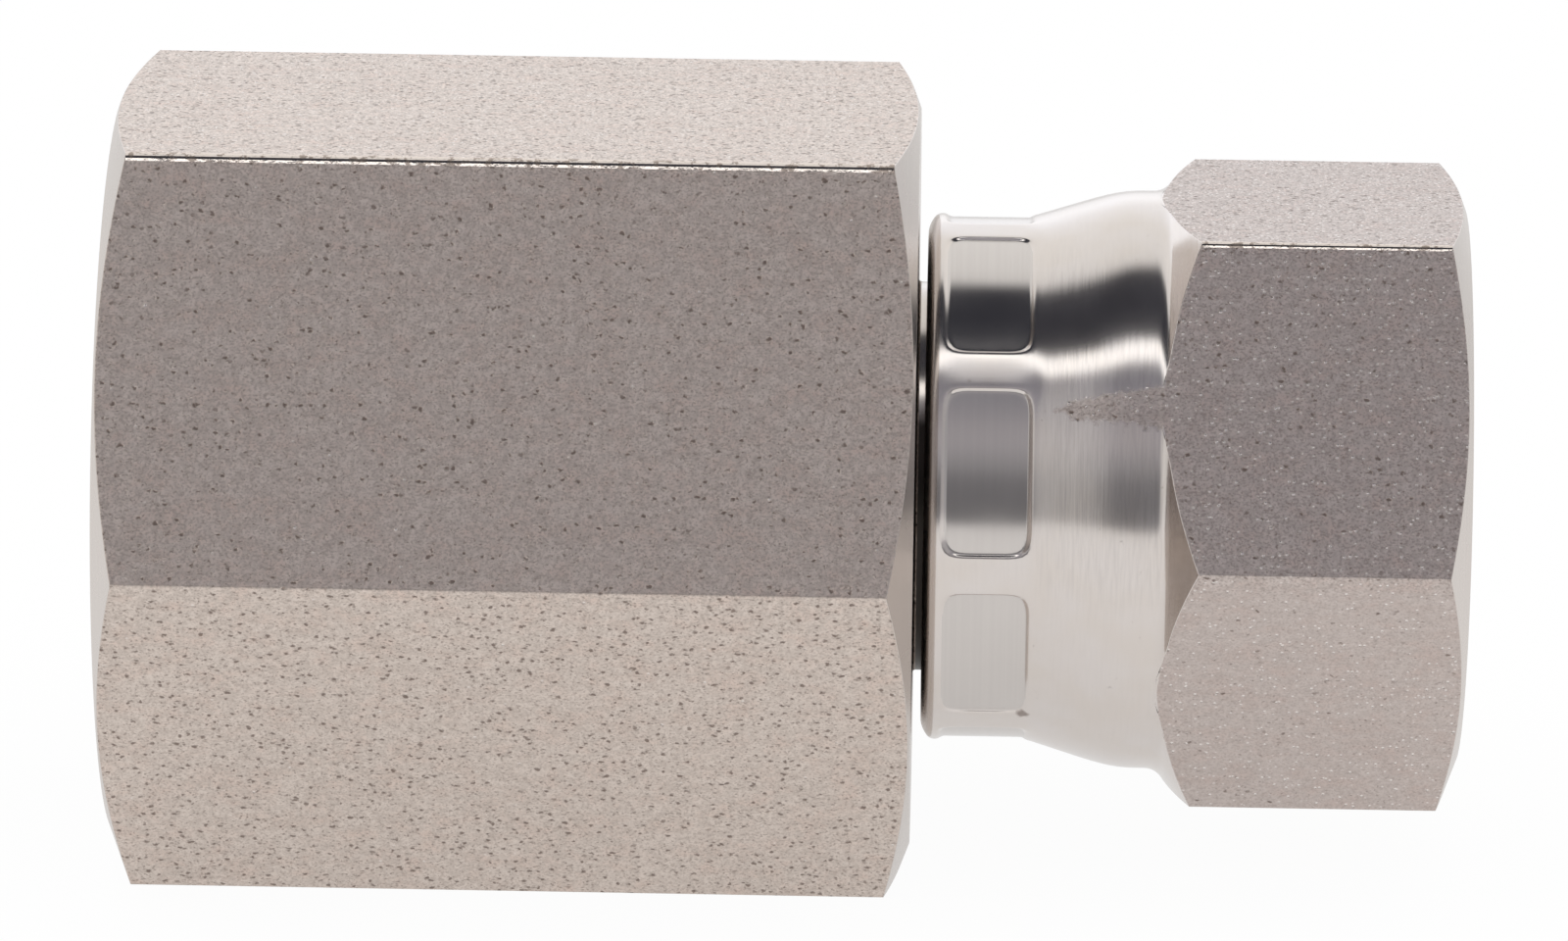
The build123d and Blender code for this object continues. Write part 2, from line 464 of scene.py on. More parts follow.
# Heights on the flats, in millimetres
GRAIN_HEIGHT = 0.018
GLINT_HEIGHT = 0.030
LARGE_PIT_DEPTH = 0.030
SMALL_PIT_DEPTH = 0.014


def dots(place, cells, fade, shown, crowd):
    """Mask of dots scattered over a place, more of them where the crowd is larger."""
    return place.cells(cells).step(*fade) * (place.cells(cells, "Color") + crowd).step(*shown)


def contrast(value, strength, middle):
    """A value pushed away from the middle by its strength, and kept smoothly between 0 and 1."""
    return ((value - middle) * strength + middle).step(0, 1)


def mill_pits(wire, place, crowd):
    """Masks of the large and the small pits."""
    drift = place.noise(BEND_CLOUDS, output="Color")
    lying = wire.vector_maths("MULTIPLY_ADD", drift, PIT_BEND, place).stretched(PIT_STRETCH)
    return dots(lying, *LARGE_PITS, crowd), dots(lying, *SMALL_PITS, crowd)


def bar_surface(wire, place, colour_of_bar, finish, grade):
    """Colour, roughness and height of bar steel as it comes from the mill, matte and pitted, with
    painted glint highlights, and on the upper flat partly painted shade of its fine relief.
    """
    up = place.part("Z")
    lower = up.step(*LOWER_FLATS)
    upper = up.step(*(grade["top"] - depth for depth in UPPER_FLAT))
    crowd = place.noise(CROWD_CLOUDS) * CROWDING + lower * grade["pits_below"] + grade["pits"]
    large, small = mill_pits(wire, place, crowd + upper * PITS_AND_SHADE_ABOVE)
    glint = dots(place.stretched(MIRRORED), *GLINTS, grade["glints"], upper * GLINT_HIGHLIGHTS_ABOVE)
    # On the upper flat the stronger grain and the thicker, darker pits are partly painted shade of its
    # fine relief
    strength = upper * GRAIN_AND_SHADE_ABOVE + lower * (grade["grain_below"] - 1) + 1
    grain = contrast(place.stretched(GRAIN_STRETCH).clouds(*GRAIN), strength, GRAIN_MIDDLE)
    mottle = contrast(place.clouds(*MOTTLE), strength, MOTTLE_MIDDLE)
    stain = place.stretched(STAIN_STRETCH).clouds(*STAINS)
    stained = stain.mix(colour_of_bar, shade(colour_of_bar, STAIN_SHADE))
    mottled = (mottle * MOTTLE_SHOWN).mix(stained, shade(colour_of_bar, MOTTLE_SHADE))
    grained = (grain * grade["grain"]).mix(mottled, shade(colour_of_bar, GRAIN_SHADE))
    # The glints paint a bright highlight into the colour; their bump and smoothness come from the height
    # and roughness below
    bright = (glint * (upper * GLINT_HIGHLIGHTS_ADDED + GLINT_HIGHLIGHTS_SHOWN)).mix(grained, GLINT_HIGHLIGHT_COLOUR)
    soiled = small * (upper * SMALL_PITS_AND_SHADE_ADDED + SMALL_PITS_SHOWN)
    base = wire.maths("MAXIMUM", large * LARGE_PITS_SHOWN, soiled).mix(bright, finish.pit)
    relief = place.noise(*RELIEF)
    roughness = varied(finish.bar_roughness, relief, BAR_SPREAD) - glint * GLINT_POLISH
    raised = relief * GRAIN_HEIGHT + glint * GLINT_HEIGHT
    height = raised - large * LARGE_PIT_DEPTH - small * SMALL_PIT_DEPTH
    return base, roughness, height


def bar_steel(name, colour_of_bar, finish, grade):
    """Bar steel as it comes from the mill, for the hexagons' flats."""
    material, wire = new_material(name)
    base, roughness, height = bar_surface(wire, object_position(wire), colour_of_bar, finish, grade)
    output_surface(wire, base, roughness, 1.0, height)
    return material


# What is left of the body bar's colour on a worn edge, where it shines and where scale stays on it
WORN_SHADE = (1.04, 1.06, 1.08)
SCALED_SHADE = (0.6, 0.57, 0.55)

# Clouds of the scale on a worn edge, the values between which it begins, and how much rougher it is
SCALE_CLOUDS = (1.7, 3.0, 0.6)
SCALE_COLOUR_FADE = (0.52, 0.60)
SCALE_ROUGH_FADE = (0.50, 0.62)
SCALE_ROUGHNESS = 0.16

# Heights of the scale and of the wear on the long edges, in millimetres
SCALE_HEIGHT = 0.022
WEAR_HEIGHT = 0.008
WEAR_CLOUDS = 4.5


def edge_steel(name, finish):
    """Worn facets of the long edges, smoother than the flats and broken up here and there."""
    material, wire = new_material(name)
    place = object_position(wire)
    scale = place.noise(*SCALE_CLOUDS)
    worn = shade(finish.bar, WORN_SHADE)
    base = scale.step(*SCALE_COLOUR_FADE).mix(worn, shade(finish.bar, SCALED_SHADE))
    roughness = scale.step(*SCALE_ROUGH_FADE) * SCALE_ROUGHNESS + finish.edge_roughness
    height = scale * SCALE_HEIGHT + place.noise(WEAR_CLOUDS) * WEAR_HEIGHT
    output_surface(wire, base, roughness, 1.0, height)
    return material


# Rings of a turned surface: how many to the millimetre, their detail, and their height in millimetres
FEED_RINGS = (5.0, 2.0)
FINE_RINGS = (16.0, 1.0)
FEED_HEIGHT = 0.0022
FINE_HEIGHT = 0.0006

# Clouds over a turned surface, how much of its dullness is theirs, and how far its roughness varies
TURNED_CLOUDS = (0.3, 3.0)
CLOUD_SHARE = 0.4
DULL_SHADE = (0.86, 0.86, 0.86)
TURNED_SPREAD = 0.10


def turned_steel(name, colour_of_steel, roughness):
    """Lathe finish: fine rings round the axis on faces, chamfers and bores."""
    material, wire = new_material(name)
    place = object_position(wire)
    rings = radius_about_axis(wire, place)
    feed = rings.noise(*FEED_RINGS)
    clouds = place.noise(*TURNED_CLOUDS)
    shine = feed * (1 - CLOUD_SHARE) + clouds * CLOUD_SHARE
    base = shine.mix(shade(colour_of_steel, DULL_SHADE), colour_of_steel)
    height = feed * FEED_HEIGHT + rings.noise(*FINE_RINGS) * FINE_HEIGHT
    output_surface(wire, base, varied(roughness, clouds, TURNED_SPREAD), 1.0, height)
    return material


# Heights over which the painted shade on the lower neck begins, the clouds of its edge, and how much
# rougher the neck is there
NECK_SHADE_LINE = (7.2, 5.8)
NECK_SHADE_CLOUDS = 0.6
NECK_SHADE_ROUGHNESS = 0.2
NECK_RING_HEIGHT = 0.002


def neck_steel(name, finish):
    """Turned neck in the gap behind the nut: bright on top, and painted dark below as the shade of the
    narrow gap.
    """
    material, wire = new_material(name)
    place = object_position(wire)
    # Below this line the neck's colour is painted dark, standing in for the shade of the narrow gap
    shaded_below = (place.part("Z") + place.noise(NECK_SHADE_CLOUDS)).step(*NECK_SHADE_LINE)
    base = shaded_below.mix(finish.turned, finish.neck)
    roughness = shaded_below * NECK_SHADE_ROUGHNESS + finish.polished_roughness
    height = radius_about_axis(wire, place).noise(*FEED_RINGS) * NECK_RING_HEIGHT
    output_surface(wire, base, roughness, 1.0, height)
    return material


# Scale left on the waist: its flat's direction from up towards -Y, where it starts after the nut's
# rear, its half width there, what that gains by the waist's end, and how ragged its outline is
PATCH_ANGLE = radians(60)
PATCH_START = 7.4
PATCH_BLUNT = 0.45
PATCH_SPREAD = 0.8
PATCH_RAGGED = 1.1
PATCH_CLOUDS = (2.2, 3.0)

# Fades of the patch: at its start as a share of its run, at its outline, and towards its own side
PATCH_START_FADE = (-0.04, 0.10)
PATCH_OUTLINE_FADE = (-0.2, 0.25)
PATCH_SIDE_FADE = (5.0, 8.0)


def untouched_patch(wire, place, sizes):
    """Mask of the scale that the turning tool left on the waist beside one flat."""
    towards_flat = (0.0, -sin(PATCH_ANGLE), cos(PATCH_ANGLE))
    along_edge = (0.0, -cos(PATCH_ANGLE), -sin(PATCH_ANGLE))
    facing = wire.vector_maths("DOT_PRODUCT", place, towards_flat, output="Value")
    aside = wire.vector_maths("DOT_PRODUCT", place, along_edge, output="Value")
    ragged = (place.noise(*PATCH_CLOUDS) - 0.5) * PATCH_RAGGED
    start = NUT_LOW.x + PATCH_START
    run = (place.part("X") - start) * (1 / (sizes.waist_end - PATCH_START))
    half_width = run.step(*PATCH_START_FADE) * PATCH_BLUNT + run * PATCH_SPREAD
    inside = half_width + ragged - abs(aside)
    return inside.step(*PATCH_OUTLINE_FADE) * facing.step(*PATCH_SIDE_FADE)


# Dirt left in the corner of one crimp mark, the radii between which it fades, how ragged it is and
# how strongly it shows
SOIL_PLACE = (49.6, -9.9, -10.45)
SOIL_FADE = (0.45, 0.15)
SOIL_CLOUDS = 3.0
SOIL_RAGGED = 0.5
SOIL_SHOWN = 0.7

# Places about the flare's root over which the turning marks begin, and their share on the skirt
TURNING_FROM = (-0.3, 1.5)
SKIRT_TURNING = 0.25

# Streaks of the tool round the waist, drawn out round the axis
STREAKS = ((1.0, 2.0, 0.6), (0.35, 0.75))
STREAK_STRETCH = (7.0, 0.5, 0.5)
STREAK_SHADE = (0.80, 0.79, 0.79)

# Heights between which the streaks show, fading over each pair, and how strongly there and elsewhere
STREAKS_FROM = (-4, 0)
STREAKS_TO = (15, 12)
STREAKS_SHOWN = 0.4
STREAKS_ELSEWHERE = 0.08

# Specks on the polished steel, and the clouds that dull it a little and vary its roughness
SPECKS = ((3.4, 2.0), (0.71, 0.82))
SPECKS_SHOWN = 0.3
POLISH_CLOUDS = (0.35, 3.0)
POLISH_FADE = (0.3, 0.7)
POLISH_SHADE = (0.975, 0.962, 0.938)
POLISH_SPREAD = 0.08

# Rings of the polished steel, as those of the turned one
POLISH_FEED_RINGS = (6.5, 2.0, 0.6)
POLISH_FINE_RINGS = (20.0, 1.0)
POLISH_FEED_HEIGHT = 0.0042
POLISH_FINE_HEIGHT = 0.0008


def polished_colour(wire, place, finish, clouds, turned):
    """Colour of the bright steel with its clouds, turning streaks, specks and a little dirt."""
    streaks = place.stretched(STREAK_STRETCH).clouds(*STREAKS) * turned
    up = place.part("Z")
    shown = up.step(*STREAKS_FROM) * up.step(*STREAKS_TO) * STREAKS_SHOWN + STREAKS_ELSEWHERE
    shine = clouds.step(*POLISH_FADE).mix(shade(finish.polished, POLISH_SHADE), finish.polished)
    streaked = (streaks * shown).mix(shine, shade(finish.polished, STREAK_SHADE))
    specked = (place.clouds(*SPECKS) * SPECKS_SHOWN).mix(streaked, finish.pit)
    ragged = (place.noise(SOIL_CLOUDS) - 0.5) * SOIL_RAGGED
    gap = wire.vector_maths("DISTANCE", place, SOIL_PLACE, output="Value")
    return ((gap + ragged).step(*SOIL_FADE) * SOIL_SHOWN).mix(specked, finish.pit)


def polished_steel(name, finish, sizes):
    """Bright turned finish of the skirt and waist, with fine rings and the patch of old scale."""
    material, wire = new_material(name)
    place = object_position(wire)
    rings = radius_about_axis(wire, place)
    root = NUT_LOW.x + sizes.skirt_length
    on_waist = place.part("X").step(*(root + along for along in TURNING_FROM))
    turned = on_waist * (1 - SKIRT_TURNING) + SKIRT_TURNING
    clouds = place.noise(*POLISH_CLOUDS)
    bright = polished_colour(wire, place, finish, clouds, turned)
    bright_roughness = varied(finish.polished_roughness, clouds, POLISH_SPREAD)
    feed = rings.noise(*POLISH_FEED_RINGS) * POLISH_FEED_HEIGHT
    bright_height = (feed + rings.noise(*POLISH_FINE_RINGS) * POLISH_FINE_HEIGHT) * turned
    bar, bar_roughness, bar_height = bar_surface(wire, place, finish.nut_bar, finish, NUT_GRADE)
    patch = untouched_patch(wire, place, sizes)
    roughness = bright_roughness * (1 - patch) + bar_roughness * patch
    height = bright_height * (1 - patch) + (bar_height - GRAIN_HEIGHT / 2) * patch
    output_surface(wire, patch.mix(bright, bar), roughness, 1.0, height)
    return material


# Skin of the rubber: its clouds, the bloom on them, how far its roughness varies, and its height
RUBBER_CLOUDS = (4.0, 3.0)
BLOOM_SHADE = (1.6, 1.6, 1.6)
RUBBER_SPREAD = 0.2
RUBBER_HEIGHT = 0.004


def rubber(name, finish):
    """Matte black rubber with a fine skin."""
    material, wire = new_material(name)
    skin = object_position(wire).noise(*RUBBER_CLOUDS)
    base = skin.mix(finish.rubber, shade(finish.rubber, BLOOM_SHADE))
    roughness = varied(finish.rubber_roughness, skin, RUBBER_SPREAD)
    output_surface(wire, base, roughness, 0.0, skin * RUBBER_HEIGHT)
    return material


def begin_outline(name, points):
    """New piece in edit mode: a run of edges through (X, radius) points above the axis."""
    bpy.ops.object.select_all(action="DESELECT")
    bpy.ops.mesh.primitive_plane_add(size=1)
    piece = bpy.context.object
    piece.name = name
    bpy.ops.object.mode_set(mode="EDIT")
    bpy.ops.mesh.select_mode(type="VERT")
    bpy.ops.mesh.merge(type="CENTER")
    places = [Vector((along, 0, radius)) for along, radius in points]
    bpy.ops.transform.translate(value=places[0])
    for last, place in zip(places, places[1:]):
        bpy.ops.mesh.extrude_region_move(TRANSFORM_OT_translate={"value": place - last})
    return piece


def spin_outline(columns):
    """Turns the outline once round the axis and closes it up."""
    bpy.ops.mesh.select_all(action="SELECT")
    bpy.ops.mesh.spin(steps=columns, angle=2 * pi, center=(0, 0, 0), axis=(1, 0, 0))
    tidy_surface()


def tidy_surface():
    """Merges doubled vertices and points all faces outwards."""
    bpy.ops.mesh.select_all(action="SELECT")
    bpy.ops.mesh.remove_doubles(threshold=WELD)
    bpy.ops.mesh.normals_make_consistent(inside=False)


def cut_hexagon(across_flats):
    """Cuts the turned surface down to six flats, one of them facing up."""
    for side in range(SIDES):
        angle = SIDE_ANGLE * (side + 0.5)
        outward = Vector((0, cos(angle), sin(angle)))
        bpy.ops.mesh.select_all(action="SELECT")
        bpy.ops.mesh.bisect(plane_co=outward * across_flats / 2, plane_no=outward,
                            use_fill=True, clear_outer=True, threshold=ON_PLANE)
    bpy.ops.mesh.select_all(action="SELECT")
    bpy.ops.mesh.remove_doubles(threshold=SLIVER)


def select_edges(piece, chosen):
    """Selects just the edges for which chosen(edge) holds."""
    bpy.ops.mesh.select_mode(type="EDGE")
    bpy.ops.mesh.select_all(action="DESELECT")
    mesh = bmesh.from_edit_mesh(piece.data)
    for edge in mesh.edges:
        if chosen(edge):
            edge.select_set(True)
    bmesh.update_edit_mesh(piece.data)


def select_faces(piece, chosen):
    """Selects just the faces for which chosen(face) holds."""
    bpy.ops.mesh.select_mode(type="FACE")
    bpy.ops.mesh.select_all(action="DESELECT")
    mesh = bmesh.from_edit_mesh(piece.data)
    for face in mesh.faces:
        if chosen(face):
            face.select_set(True)
    bmesh.update_edit_mesh(piece.data)


def apply_modifier(piece, kind, **settings):
    """Adds a modifier in object mode and applies it."""
    bpy.ops.object.modifier_add(type=kind)
    modifier = piece.modifiers[-1]
    for key, value in settings.items():
        setattr(modifier, key, value)
    bpy.ops.object.modifier_apply(modifier=modifier.name)


# The worn facets lie within this distance of a sharp corner, turn from a flat by at least this, and
# lean along X by less than this
EDGE_ZONE = 0.25
SMALL_TURN = radians(6)
FACET_LEAN = 0.02

# An edge is a long one from this length, if this share of it runs along X
LONG_EDGE = 1.0
STRAIGHT_SHARE = 0.9

# The upper two long edges lie above this height, and the others' facets have this share of their width
UPPER_EDGES = 1.0
LOWER_WEAR = 0.42

# Shape of a worn edge, from 0.25 for one flat chamfer to 0.5 for a round, and the facets across it
EDGE_PROFILE = 0.44
EDGE_SEGMENTS = 4


def from_axis(place):
    """Distance of a place from the axis."""
    return hypot(place.y, place.z)


def is_long_edge(edge, across_flats):
    """Whether the edge runs along X at a corner of the hexagon."""
    first, second = (vertex.co for vertex in edge.verts)
    length = (first - second).length
    straight = abs(first.x - second.x) > STRAIGHT_SHARE * length
    near = from_axis(first) + EDGE_ZONE > across_flats / sqrt(3)
    return length > LONG_EDGE and straight and near


def is_edge_facet(face, across_flats):
    """Whether the face is one of the worn facets along a corner of the hexagon."""
    half = SIDE_ANGLE / 2
    aside = (atan2(face.normal.y, face.normal.z) + half) % SIDE_ANGLE - half
    near = from_axis(face.calc_center_median()) + EDGE_ZONE > across_flats / sqrt(3)
    return near and abs(aside) > SMALL_TURN and abs(face.normal.x) < FACET_LEAN


def break_edges(piece, across_flats, width, turned_share):
    """Wears the long edges to facets, the upper two most, and breaks the turned edges a little."""
    bpy.ops.mesh.select_mode(type="EDGE")
    bpy.ops.mesh.select_all(action="DESELECT")
    bpy.ops.mesh.edges_select_sharp(sharpness=SHARP_ANGLE)
    bpy.ops.transform.edge_bevelweight(value=turned_share)
    select_edges(piece, lambda edge: is_long_edge(edge, across_flats))
    bpy.ops.transform.edge_bevelweight(value=LOWER_WEAR - turned_share)
    select_edges(piece, lambda edge: is_long_edge(edge, across_flats)
                 and edge.verts[0].co.z > UPPER_EDGES)
    bpy.ops.transform.edge_bevelweight(value=1)
    bpy.ops.object.mode_set(mode="OBJECT")
    apply_modifier(piece, "BEVEL", width=width, segments=EDGE_SEGMENTS, profile=EDGE_PROFILE,
                   limit_method="WEIGHT", use_clamp_overlap=False)


def keep_facets_flat(piece, across_flats):
    """Smooths a finished piece, except between the worn facets of its long edges."""
    bpy.ops.object.shade_smooth_by_angle(angle=SMOOTH_ANGLE)
    bpy.ops.object.mode_set(mode="EDIT")
    select_edges(piece, lambda edge: is_long_edge(edge, across_flats))
    bpy.ops.mesh.mark_sharp()
    bpy.ops.object.mode_set(mode="OBJECT")


def rounded(before, corner, after, radius, points=6):
    """Arc of the radius that takes the place of an outline's corner."""
    back = (Vector(before) - Vector(corner)).normalized()
    on = (Vector(after) - Vector(corner)).normalized()
    half = back.angle(on) / 2
    centre = Vector(corner) + (back + on).normalized() * radius / sin(half)
    start = Vector(corner) + back * radius / tan(half) - centre
    end = Vector(corner) + on * radius / tan(half) - centre
    first = atan2(start.y, start.x)
    sweep = (atan2(end.y, end.x) - first + pi) % (2 * pi) - pi
    angles = [first + sweep * number / points for number in range(points + 1)]
    return [(centre.x + radius * cos(angle), centre.y + radius * sin(angle)) for angle in angles]


def thread_span(mount):
    """Start and end along X, and the crest's radius, of the wall that a threaded mount names."""
    middle = mount["pos_m"][0] / MM
    half = mount["dims"]["length_mm"] / 2
    return middle - half, middle + half, mount["dims"]["r_mm"]


def thread_cutter(major_radius, crest_radius, pitch, start, turns):
    """Closed right-handed helical ridge that cuts an internal pipe thread from start towards +X."""
    arc_radius = ROUND_SHARE * pitch
    arc_centre = major_radius - arc_radius
    base = crest_radius - THREAD_REACH
    arc = []
    for number in range(ROUND_POINTS):
        angle = pi - FLANK_ANGLE - (pi - 2 * FLANK_ANGLE) * number / (ROUND_POINTS - 1)
        arc.append((arc_radius * cos(angle), arc_centre + arc_radius * sin(angle)))
    half_width = arc[-1][0] + (arc[-1][1] - base) * tan(FLANK_ANGLE)
    profile = [(-half_width, base), *arc, (half_width, base), (-half_width, base)]
    cutter = begin_outline("thread_cutter", [(start + x, radius) for x, radius in profile])
    bpy.ops.mesh.select_all(action="SELECT")
    bpy.ops.mesh.remove_doubles(threshold=WELD)
    bpy.ops.object.mode_set(mode="OBJECT")
    apply_modifier(cutter, "SCREW", axis="X", screw_offset=pitch, iterations=turns,
                   steps=THREAD_STEPS, render_steps=THREAD_STEPS)
    bpy.ops.object.mode_set(mode="EDIT")
    bpy.ops.mesh.select_all(action="SELECT")
    bpy.ops.mesh.fill_holes(sides=0)
    bpy.ops.mesh.select_all(action="SELECT")
    bpy.ops.mesh.normals_make_consistent(inside=False)
    bpy.ops.object.mode_set(mode="OBJECT")
    return cutter


def cut_thread(piece, mount, major_diameter, pitch):
    """Cuts the thread form into the plain wall that a threaded mount names."""
    start, end, crest = thread_span(mount)
    run_out = major_diameter / 2 - crest + pitch / 2
    turns = int((end - start + 2 * run_out) / pitch + THREAD_ENDS)
    first = start - run_out if mount["axis"][0] > 0 else end + run_out - turns * pitch
    cutter = thread_cutter(major_diameter / 2, crest, pitch, first, turns)
    bpy.ops.object.select_all(action="DESELECT")
    bpy.context.view_layer.objects.active = piece
    piece.select_set(True)
    apply_modifier(piece, "BOOLEAN", operation="DIFFERENCE", solver="MANIFOLD", object=cutter)
    bpy.data.objects.remove(cutter)


def give_materials(piece, materials, kind_of):
    """Puts each face in the slot of the material whose name kind_of(face) returns."""
    piece.data.materials.clear()
    for material in materials.values():
        piece.data.materials.append(material)
    bpy.ops.object.mode_set(mode="EDIT")
    for number, kind in enumerate(materials):
        select_faces(piece, lambda face: kind_of(face) == kind)
        piece.active_material_index = number
        bpy.ops.object.material_slot_assign()
    bpy.ops.object.mode_set(mode="OBJECT")


def place_piece(piece, body, node):
    """Settles a smoothed piece's normals, brings it to metres and hands it to the frame."""
    apply_modifier(piece, "WEIGHTED_NORMAL", keep_sharp=True)
    piece.scale = (MM, MM, MM)
    bpy.ops.object.transform_apply(location=True, rotation=True, scale=True)
    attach(piece, body)
    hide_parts(node)


def radial_part(face):
    """How far a face looks away from the axis, from -1 to 1."""
    centre = face.calc_center_median()
    outward = Vector((0, centre.y, centre.z)).normalized()
    return face.normal.dot(outward)


# Faces that look outwards by less than the first are bored, and those that do by more than the second
# are flats of the bar
BORE_LOOK = -0.1
FLAT_LOOK = 0.8


def kind_on_hexagon(face, across_flats):
    """Name of the finish on a face of the hexagon: worn edge, flat, or turned face or chamfer."""
    if is_edge_facet(face, across_flats):
        return "edge" if face.calc_center_median().z > UPPER_EDGES else "bar"
    return "bar" if radial_part(face) > FLAT_LOOK else "turned"


def body_outline(group):
    """Closed outline of the body from the port's mouth, over the outside and back through the bore."""
    mm = Millimetres(group)
    reach = mm.across_flats / sqrt(3) + CORNER_OVERCUT
    face = mm.face_diameter / 2
    setback = (reach - face) * tan(group.chamfer_angle)
    neck = mm.neck_diameter / 2
    collar = mm.collar_diameter / 2
    tip = mm.tip_diameter / 2
    bore = mm.bore_diameter / 2
    nose = BODY_HIGH.x
    slope = tan(group.nose_angle)
    seal = (RING_LOW.x + RING_HIGH.x) / 2
    half_groove = (RING_HIGH.x - RING_LOW.x) / 2 + mm.groove_side_gap
    groove_rear = seal - half_groove
    groove_front = seal + half_groove
    groove_floor = mm.groove_diameter / 2
    thread_start, thread_end, crest = thread_span(MOUNTS["port_thread"])
    relief = mm.relief_diameter / 2
    floor = thread_end + mm.relief_width
    edge = relief - mm.step
    return [
        (0, mm.mouth_diameter / 2),
        (0, face),
        (setback, reach),
        (mm.length - setback, reach),
        (mm.length, face),
        *rounded((mm.length, face), (mm.length, neck), (mm.collar_start, neck), mm.neck_round),
        (mm.collar_start, neck),
        (mm.collar_start + (collar - neck) / tan(group.back_angle), collar),
        (nose - (collar - tip) / slope, collar),
        (groove_rear, tip + (nose - groove_rear) * slope),
        (groove_rear, groove_floor),
        (groove_front, groove_floor),
        (groove_front, tip + (nose - groove_front) * slope),
        (nose, tip),
        (nose, bore + mm.bore_break),
        (nose - mm.bore_break, bore),
        (floor + (edge - bore) / tan(group.drill_angle / 2), bore),
        (floor, edge),
        (floor, relief),
        (thread_end + relief - crest, relief),
        (thread_end, crest),
        (thread_start, crest),
        (0, mm.mouth_diameter / 2),
    ]


class ADAPTER_OT_add_body(Operator):
    """Turns the hexagon body with its port and nipple, and cuts the port's thread"""

    bl_idname = "swivel_adapter.add_body"
    bl_label = "Add body"

    def execute(self, context):
        group = context.scene.adapter_body
        finish = context.scene.adapter_finish
        mm = Millimetres(group)
        piece = begin_outline("body_shell", body_outline(group))
        spin_outline(COLUMNS)
        cut_hexagon(mm.across_flats)
        break_edges(piece, mm.across_flats, mm.edge_round, group.edge_break)
        cut_thread(piece, MOUNTS["port_thread"], mm.thread_diameter, mm.thread_pitch)

        def kind_of(face):
            along = face.calc_center_median().x
            if radial_part(face) < BORE_LOOK:
                return "bored"
            if along > mm.length + EDGE_ZONE:
                return "nipple" if along > mm.collar_start else "neck"
            return kind_on_hexagon(face, mm.across_flats)

        materials = {
            "bar": bar_steel("body_bar_steel", finish.bar, finish, BODY_GRADE),
            "edge": edge_steel("body_edge_steel", finish),
            "turned": turned_steel("body_turned_steel", finish.turned, finish.turned_roughness),
            "bored": turned_steel("body_bored_steel", finish.turned, finish.bored_roughness),
            "nipple": turned_steel("nipple_turned_steel", finish.turned, finish.polished_roughness),
            "neck": neck_steel("neck_oily_steel", finish),
        }
        give_materials(piece, materials, kind_of)
        keep_facets_flat(piece, mm.across_flats)
        place_piece(piece, "body", "adapter_body")
        return {"FINISHED"}


# Radius at which the skirt's cage joins the nut's rear face
REAR_JOINT = 12.6

# Round of the skirt's rear edge, from the rear face on: shares of the chamfer's length along the axis,
# and of the bevel's depth down from the skirt
REAR_ROUND = ((0.0, 1.3), (0.0, 0.85), (0.55, 0.3), (1.0, 0.05), (1.5, 0.0))

# The nut's rear face looks outwards by less than this, and its shoulder leans back by more than this
REAR_LOOK = 0.5
SHOULDER_LEAN = -0.4

# How far before the shoulder's start the waist's finish ends, in millimetres
WAIST_MARGIN = 0.1

# The floor of a crimp mark begins at this share of its depth
FLOOR_SHARE = 0.7


def nut_core_outline(group):
    """Outline of the nut from its waist over the hexagon, then in through the bore to its rear."""
    mm = Millimetres(group)
    reach = mm.across_flats / sqrt(3) + CORNER_OVERCUT
    face = mm.face_diameter / 2
    front = NUT_HIGH.x
    rear = NUT_LOW.x
    setback = (reach - face) * tan(group.face_angle)
    waist = mm.waist_diameter / 2
    half_flats = mm.across_flats / 2
    slope = tan(group.shoulder_angle)
    root = rear + mm.waist_end - (half_flats - waist) * slope
    shoulder_top = (root + (reach - waist) * slope, reach)
    thread_start, thread_end, crest = thread_span(MOUNTS["nut_thread"])
    relief = mm.relief_diameter / 2
    cavity = mm.cavity_diameter / 2
    relief_start = thread_start - mm.relief_width
    lip = mm.lip_diameter / 2
    lip_end = rear + mm.lip_length
    return [
        (rear + mm.waist_joint, waist),
        *rounded((rear, waist), (root, waist), shoulder_top, mm.shoulder_round),
        shoulder_top,
        (front - setback, reach),
        (front, face),
        (front, mm.mouth_diameter / 2),
        (thread_end, crest),
        (thread_start, crest),
        (thread_start - relief + crest, relief),
        (relief_start, relief),
        (relief_start - relief + cavity, cavity),
        (lip_end + cavity - lip, cavity),
        (lip_end, lip),
        (rear, lip),
        (rear, REAR_JOINT),
    ]


def skirt_cage_outline(nut, crimp):
    """Cage outline of the skirt, flare and waist, from the rear face to the waist's joint."""
    mm = Millimetres(nut)
    marks = Millimetres(crimp)
    rear = NUT_LOW.x
    skirt = mm.skirt_diameter / 2
    waist = mm.waist_diameter / 2
    root = rear + mm.skirt_length
    slope = tan(nut.flare_angle)
    crown = root + (waist - skirt) / slope
    first_row = rear + marks.start
    row = (root - first_row) / crimp.rows
    rows = [(first_row + row * number, skirt) for number in range(crimp.rows + 1)]
    across = cos(nut.flare_angle)
    return [
        (rear, REAR_JOINT),
        *((rear + along * mm.rear_chamfer, skirt - down * mm.rear_bevel) for along, down in REAR_ROUND),
        *rows,
        (root + mm.flare_root * across, skirt + mm.flare_root * across * slope),
        (crown - mm.flare_crown * across, waist - mm.flare_crown * across * slope),
        (crown, waist),
        (rear + mm.waist_joint, waist),
    ]


